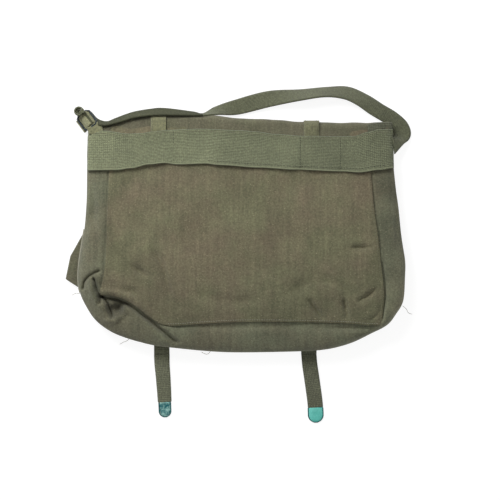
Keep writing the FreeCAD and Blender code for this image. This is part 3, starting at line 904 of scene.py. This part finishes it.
TAILS = {
    "left": ((-100.8, -131.3), (-100.4, -145), (-99.0, -162), (-97.4, -187), (-96.5, -209)),
    "right": ((91.8, -131.3), (93.0, -145), (95.4, -161.6), (99.9, -194.8), (101.0, -216)),
}
# Half width of each metal end and its look.
TIPS = {"left": (7.6, "tarnish"), "right": (9.6, "verdigris")}
TIP_LENGTH, TIP_OVERHANG, TIP_Z = 19.0, 4.4, 1.42
# Width of the webbing inside the metal end, and how much of its length is there.
CLAMPED_WIDTH, CLAMPED_LENGTH = 13.0, 13.6


def tail_line(side):
    return spline([(x, y, 0) for x, y in TAILS[side]], 90)


def build_tail(side):
    points = tail_line(side)
    last = len(points) - 1
    frames, widths = [], []
    for k, p in enumerate(points):
        travel = travel_at(points, k).normalized()
        across = Vector((1, 0, 0)).lerp(Vector((-travel.y, travel.x, 0)), min(1.0, k / 10))
        rise = 0.9 if side == "right" else 0.6
        z = 1.3 + 1.1 * math.sin(math.pi * min(1.0, k / (last * 0.78))) * rise
        tilt = Vector((0, 0, 0.06 * math.sin(k / 20)))
        frames.append((Vector((p.x, p.y, z)), (across + tilt).normalized(), Vector((0, 0, 1))))
        left_over = (points[last] - p).length
        full = 20.0 if side == "right" else 17.4 + 3.0 * min(1.0, left_over / 76)
        free = min(1.0, max(0.0, (left_over - CLAMPED_LENGTH) / 1.6))
        widths.append(CLAMPED_WIDTH + (full - CLAMPED_WIDTH) * free)
    obj = cloth_grid(side + "_tail_webbing", web_rows(frames, widths, 0.15), 1.4 * MM)
    finish_piece(obj, side + "_tail_end", "tail", side + "_tail")


def tip_frame(side):
    """Start of the metal end, its direction and the direction across it."""
    points = tail_line(side)
    travel = (points[-1] - points[-12]).normalized()
    start = points[-1] + travel * (TIP_OVERHANG - TIP_LENGTH)
    return start, travel, Vector((-travel.y, travel.x, 0))


def tip_width(half, t):
    """Half width of the metal end a part t of the way along it: straight sides, round end."""
    from_end = (1 - t) * TIP_LENGTH
    sunk = max(0.0, 1 - from_end / half)
    return half * max(0.2, math.sqrt(max(0.0, 1 - sunk * sunk)))


def build_tip(side):
    """Crimped metal end: a rounded clip pressed flat over the webbing."""
    half, look = TIPS[side]
    start, travel, across = tip_frame(side)
    steps, columns = 24, 14
    faces = []
    bm = bmesh.new()
    for face in (1, -1):
        grid = []
        for j in range(steps + 1):
            t = j / steps
            row = []
            for i in range(columns + 1):
                s = -1 + 2 * i / columns
                swell = (1 - abs(s) ** 5) * (1 - max(0.0, (t - 0.8) / 0.2) ** 3)
                dent = 0.4 * gauss(s * 2.2, 1) * gauss((t - 0.4) * 3.2, 1)
                z = TIP_Z + face * (0.2 + 1.16 * swell - dent)
                p = start + travel * (TIP_LENGTH * t) + across * (tip_width(half, t) * s)
                row.append(bm.verts.new(mm(p.x, p.y, z)))
            grid.append(row)
        faces.append(grid)
    top, under = faces
    for j in range(steps):
        for i in range(columns):
            bm.faces.new((top[j][i], top[j][i + 1], top[j + 1][i + 1], top[j + 1][i]))
            bm.faces.new((under[j][i], under[j + 1][i], under[j + 1][i + 1], under[j][i + 1]))
    rim = border(steps, columns)
    for (a, b), (c, d) in zip(rim, rim[1:] + rim[:1]):
        bm.faces.new((top[a][b], under[a][b], under[c][d], top[c][d]))
    bmesh.ops.recalc_face_normals(bm, faces=bm.faces)
    obj = link_mesh(side + "_tip_metal", bm)
    finish_piece(obj, side + "_tail_end", look, side + "_strap_tip")
    # A dark cord round the metal end's outline: painted shade where its rounded edge turns away from the
    # light.
    edge = []
    for side_sign, order in ((-1, range(steps + 1)), (1, range(steps, -1, -1))):
        for j in order:
            out = across * (side_sign * tip_width(half, j / steps))
            p = start + travel * (TIP_LENGTH * j / steps) + out
            edge.append(Vector((p.x, p.y, TIP_Z)))
    tube(side + "_tip_edge_shade", edge + edge[:1], 0.8, side + "_tail_end", "rim")


for side in TAILS:
    build_tail(side)
    build_tip(side)

# ---- carrying strap

slide_low, slide_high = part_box("shoulder_slide")
SLIDE = Vector([(a + b) / 2 / MM for a, b in zip(slide_low, slide_high)])
LIE = Matrix.Rotation(math.radians(38 - 90), 3, "Z") @ Matrix.Rotation(math.radians(-27), 3, "Y")
TO_BAG, ALONG, OFF = [LIE @ Vector(axis) for axis in ((1, 0, 0), (0, 1, 0), (0, 0, 1))]
# The webbing passes this far over and under the slide's bars, whose outer ones are this far out.
WEAVE, OUTER_BAR = 3.2, 9.5
HALF_STRAP = 10.6
# Ends in x of the webbing in the slide and of the run painted darker as shade, in metres.
IN_SLIDE_END, SHADED_RUN_END = -0.186, -0.047


def across_slide(distance, rise):
    middle = SLIDE + ALONG * distance + OFF * rise
    return middle + TO_BAG * HALF_STRAP, middle - TO_BAG * HALF_STRAP


# The carrying strap from the slide to the bag's right end: its two edges.
STRAP = (
    ((-182.4, 167.8, 19.6), (-185, 176.5, 1.8)), ((-173, 167.4, 20.8), (-173, 173.0, 1.6)),
    ((-163, 169.3, 21), (-162, 177.0, 1.5)), ((-150, 172.9, 21), (-149, 182.0, 1.4)),
    ((-137, 176.8, 21), (-136, 186.0, 1.4)), ((-118, 179.7, 20.5), (-117, 189.2, 1.4)),
    ((-98, 180.6, 20), (-98, 190.5, 1.4)), ((-60, 180.4, 18.5), (-61, 186.0, 1.4)),
    ((-45, 180.6, 16), (-47, 183.6, 1.4)),
    ((-25, 182, 9), (-31, 192.5, 1.4)), ((0, 182.5, 3), (-8, 201, 1.4)), ((42, 192.5, 6), (37, 213, 1.4)),
    ((81, 200, 16.5), (80, 215, 1.5)), ((113, 204.5, 17), (114, 218, 1.5)),
    ((137, 202, 14), (143, 218.6, 1.5)), ((154, 194.5, 11), (168, 208.5, 1.5)),
    ((171, 183, 6), (190, 195, 1.4)), ((188, 173, 4), (206, 185.5, 1.3)),
    ((199, 165, 3), (219.5, 173.5, 1.2)), ((200.9, 158, 3.2), (225.2, 161, 1.3)),
    ((201.2, 154.6, 5.8), (223.4, 150.4, 3)), ((200.9, 152.6, 11.5), (214.4, 142.4, 8.5)),
    ((200.6, 151.5, 15.5), (203.2, 130, 13)),
)


def ribbon_rows(pairs, count):
    """Smooth ribbon through pairs of edge points."""
    nears = spline([a for a, _ in pairs], count)
    fars = spline([b for _, b in pairs], count)
    parts = [i / RIBBON_COLUMNS for i in range(RIBBON_COLUMNS + 1)]
    return [[near.lerp(far, t) * MM for t in parts] for near, far in zip(nears, fars)]


def build_strap():
    through = [across_slide(-OUTER_BAR - 3, 0.4 - WEAVE), across_slide(-OUTER_BAR, -WEAVE),
               across_slide(0, WEAVE), across_slide(OUTER_BAR, -WEAVE)]
    rows = ribbon_rows([*through, *STRAP], 420)
    woven = [j for j, row in enumerate(rows) if row[0].x > IN_SLIDE_END][0]
    turned = [j for j, row in enumerate(rows) if row[0].x > SHADED_RUN_END][0]
    in_slide = cloth_grid("slide_webbing", rows[:woven + 1], 1.8 * MM)
    finish_piece(in_slide, "carrying_strap", "closure", "shoulder_strap")
    # The run from the slide is painted darker as shade.
    shaded = cloth_grid("shoulder_strap_shaded_run", rows[woven:turned + 1], 1.8 * MM)
    finish_piece(shaded, "carrying_strap", "web_shaded", "shoulder_strap")
    obj = cloth_grid("shoulder_strap_webbing", rows[turned:], 1.8 * MM)
    finish_piece(obj, "carrying_strap", "web", "shoulder_strap")


CURL_CENTRE = Vector((-208.4, 185.4, 0))


def build_strap_end():
    """The strap's end, on edge beyond the slide and curled round an upright axis."""
    pairs = []
    for step in range(41):
        a = math.radians(-20 + 25 * step)
        place = CURL_CENTRE + Vector((math.cos(a), math.sin(a), 0)) * (6.2 - 0.155 * step)
        pairs.append((place + Vector((0, 0, 18.4 - 0.12 * step)), place + Vector((0, 0, 7.0))))
    obj = cloth_grid("shoulder_strap_curl", ribbon_rows(pairs, 150), 2.0 * MM)
    finish_piece(obj, "carrying_strap", "web", "shoulder_strap_end")


def build_anchor_tape():
    """Tape that holds the slide: it bends between the bag and the strap."""
    pairs = (
        ((-176.5, 157.0, 17.6), (-195.4, 156.0, 16.2)), ((-176.6, 162.0, 18.2), (-195.6, 158.6, 17.8)),
        ((-177.4, 166.0, 18.2), (-196.6, 161.4, 18.8)), ((-180.4, 168.3, 18.2), (-197.6, 163.2, 19.3)),
    )
    obj = cloth_grid("left_anchor_webbing", ribbon_rows(pairs, 24), 1.3 * MM)
    finish_piece(obj, None, "closure", "left_anchor_tape")
    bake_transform(obj)


def build_keeper():
    """Doubled edge of the webbing where it turns over the slide's middle bar, painted dark as the shadow
    line beside that bar.
    """
    pairs = []
    for step in range(7):
        middle = SLIDE + ALONG * 3.2 + OFF * (3.2 - 0.05 * (step - 3) ** 2) + TO_BAG * (3.3 * (step - 3))
        pairs.append((middle - ALONG * 1.5, middle + ALONG * 1.5 - OFF * 0.8))
    obj = cloth_grid("slide_webbing_turn", ribbon_rows(pairs, 30), 1.6 * MM)
    finish_piece(obj, "carrying_strap", "web_shaded", "shoulder_strap")


def build_slide_loop():
    """Webbing from the slide's lower bar to the tape that holds it."""
    pairs = (
        ((-184.0, 172.4, 15.5), (-197.8, 165.4, 15.5)), ((-182.6, 170.0, 16.6), (-196.2, 163.2, 16.6)),
        ((-181.0, 167.0, 17.0), (-194.6, 160.8, 17.0)),
    )
    obj = cloth_grid("slide_loop_webbing", ribbon_rows(pairs, 16), 1.4 * MM)
    finish_piece(obj, "carrying_strap", "closure")


def build_right_tab():
    """Short end of webbing sewn over the flap at the mouth's right end."""
    pairs = (((168, 157.0, 17.6), (168, 168.2, 18.4)), ((182, 157.0, 17.2), (182, 171.2, 17.6)),
             ((200.2, 157.0, 10.8), (200.0, 172.0, 12.8)))
    obj = cloth_grid("right_end_tab", ribbon_rows(pairs, 24), 1.4 * MM)
    finish_piece(obj, "bag", "tail", "back_band")


build_strap()
build_strap_end()
build_keeper()
build_slide_loop()
build_right_tab()
build_anchor_tape()

# ---- CAD nodes that keep their shape

KEPT = {
    "shoulder_slide": "steel", "left_closure_buckle": "steel", "right_closure_buckle": "steel",
    "left_buckle_chape": "closure", "right_buckle_chape": "closure", "front_seam_binding": "lining",
    "front_mouth_hem": "lining", "flap_hem": "lining",
}
for node, look in KEPT.items():
    kept = frame["nodes"][node]
    kept.data.materials.clear()
    kept.data.materials.append(materials[look])

# ---- stitching and loose threads


def stitches(name, line, body, look="thread", length=2.6, gap=1.3, width=0.34):
    """Row of short threads along a line of points in millimetres."""
    points = even(line, length + gap)
    bm = bmesh.new()
    for a, b in zip(points, points[1:]):
        travel = (b - a).normalized()
        across, up = sides(travel)
        rings = []
        for t, size, rise in ((0.0, 0.5, -0.25), (0.25, 1.0, 0.25), (0.75, 1.0, 0.25), (1.0, 0.5, -0.25)):
            centre = a + travel * (length * t) + up * rise
            rings.append(add_ring(bm, centre, across, up, width * size, 6))
        join_rings(bm, rings)
    return finish_piece(link_mesh(name, bm), body, look)


def inside_seam(k, inset):
    """Point on the back panel's face, a distance inside its seam."""
    seam, rim = SEAM[k], RIM[k]
    inward = Vector((seam.x - rim.x, seam.y - rim.y, 0)).normalized()
    p = seam + inward * inset
    return Vector((p.x, p.y, back_z(p.x, p.y) + cloth_lift(p) * 0.5 + 1.3))


def seam_stitches(name, first, last, look):
    """Row of stitches just inside the panel's seam between two stations of the outline."""
    ks = range(round(first * per_station), round(last * per_station))
    stitches(name, [inside_seam(k, 1.9) for k in ks], "bag", look, length=1.9, gap=1.2, width=0.3)


seam_stitches("seam_stitches_left", 3.9, 7.4, "thread")
seam_stitches("seam_stitches_base", 14.0, 21.0, "pale_thread")
seam_stitches("seam_stitches_right", 21.1, 29.1, "thread")


def above_band(x, part, rise=1.0):
    return band_point(x, part) / MM + Vector((0, 0, rise))


def band_row(name, part, start, stop, look):
    """Row of stitches along the band."""
    line = [above_band(start + (stop - start) * i / 199, part) for i in range(200)]
    stitches(name, line, "bag", look)


def band_column(name, x, first, last):
    """Row of stitches across the band, between two parts of its width."""
    line = [above_band(x, first + (last - first) * i / 29) for i in range(30)]
    stitches(name, line, "bag", "dark_thread", length=2.2, gap=1.0, width=0.42)


band_row("band_top_stitches", 0.07, -193, 198, "thread")
band_row("band_base_stitches", 0.9, -40, 190, "dark_thread")
selvedge = [above_band(-195.8 + 396.4 * i / 240, 0.985, 0.75) for i in range(241)]
tube("band_selvedge", selvedge, 0.7, "bag", "selvedge")
band_column("band_stitches_left", BAND_SEWN[0], 0.05, 0.4)
band_column("band_stitches_middle", BAND_SEWN[1], 0.04, 0.96)
band_column("band_stitches_right", BAND_SEWN[2], 0.04, 0.96)


def web_stitches(name, centre, offset):
    """Row of stitches along the back of a closure strap, clear of the band."""
    line = []
    for j in range(8, 28):
        p = fold_point(centre, j, WEB_STEPS, lift=2.5, back_start=WEB_START, front_end=WEB_FOOT)
        line.append(Vector((p.x + offset, p.y, p.z)))
    stitches(name, line, "bag", "thread", length=1.9, gap=1.1, width=0.34)


for side, (centre, _) in WEBS.items():
    web_stitches(side + "_web_stitches_a", centre, -7.6)
    web_stitches(side + "_web_stitches_b", centre, 6.4)

# Pale cord at the front seam, seen past the left side of the gusset: a painted highlight along the edge
# of the gusset's fold.
front_edge = []
for k in range(round(5.1 * per_station), round(8.0 * per_station)):
    outward = (RIM[k] - SEAM[k]).normalized()
    p = RIM[k] + outward * 1.5
    front_edge.append(Vector((p.x, p.y, FRONT_Z + 6.0)))
tube("front_fold_highlight", front_edge, 1.0, "bag", "pale_thread")

# Loose ends of sewing thread, each a few points from the seam down to the floor.
THREADS = {
    "thread_left": ((-203, -50.5, 14), (-208, -52, 9), (-213, -51.5, 4), (-218.5, -54.2, 0.9)),
    "thread_base_left": ((-142, -110, 9), (-147, -114, 6), (-151, -115.5, 3), (-156, -118.5, 0.9)),
    "thread_base": ((-36, -125, 5), (-39, -130, 1.5), (-43, -131.4, 0.9), (-49, -128.5, 0.9)),
    "thread_right": ((214, -68, 10), (219, -72, 6), (222, -77, 3), (227, -79, 0.9)),
}
for name, points in THREADS.items():
    tube(name, even(spline(points, 40), 0.7), 0.28, "bag", "pale_thread")

# ---- floor

# The floor lies just under the bag, so that the two faces don't fight.
FLOOR_GAP = 0.0002
floor_mesh = bpy.data.meshes.new("floor")
corners = [(-6, -6, TABLE), (6, -6, TABLE), (6, 6, TABLE), (-6, 6, TABLE)]
floor_mesh.from_pydata(corners, [], [(0, 1, 2, 3)])
floor = add_object("floor", floor_mesh)
floor.location.z = -FLOOR_GAP
floor_look = Graph("floor_white", 0.9)
floor_look.shader.inputs["Base Color"].default_value = (0.24, 0.24, 0.24, 1)
floor_look.shader.inputs["Emission Color"].default_value = (1, 1, 1, 1)
floor_look.shader.inputs["Emission Strength"].default_value = 0.86
floor_mesh.materials.append(floor_look.material)
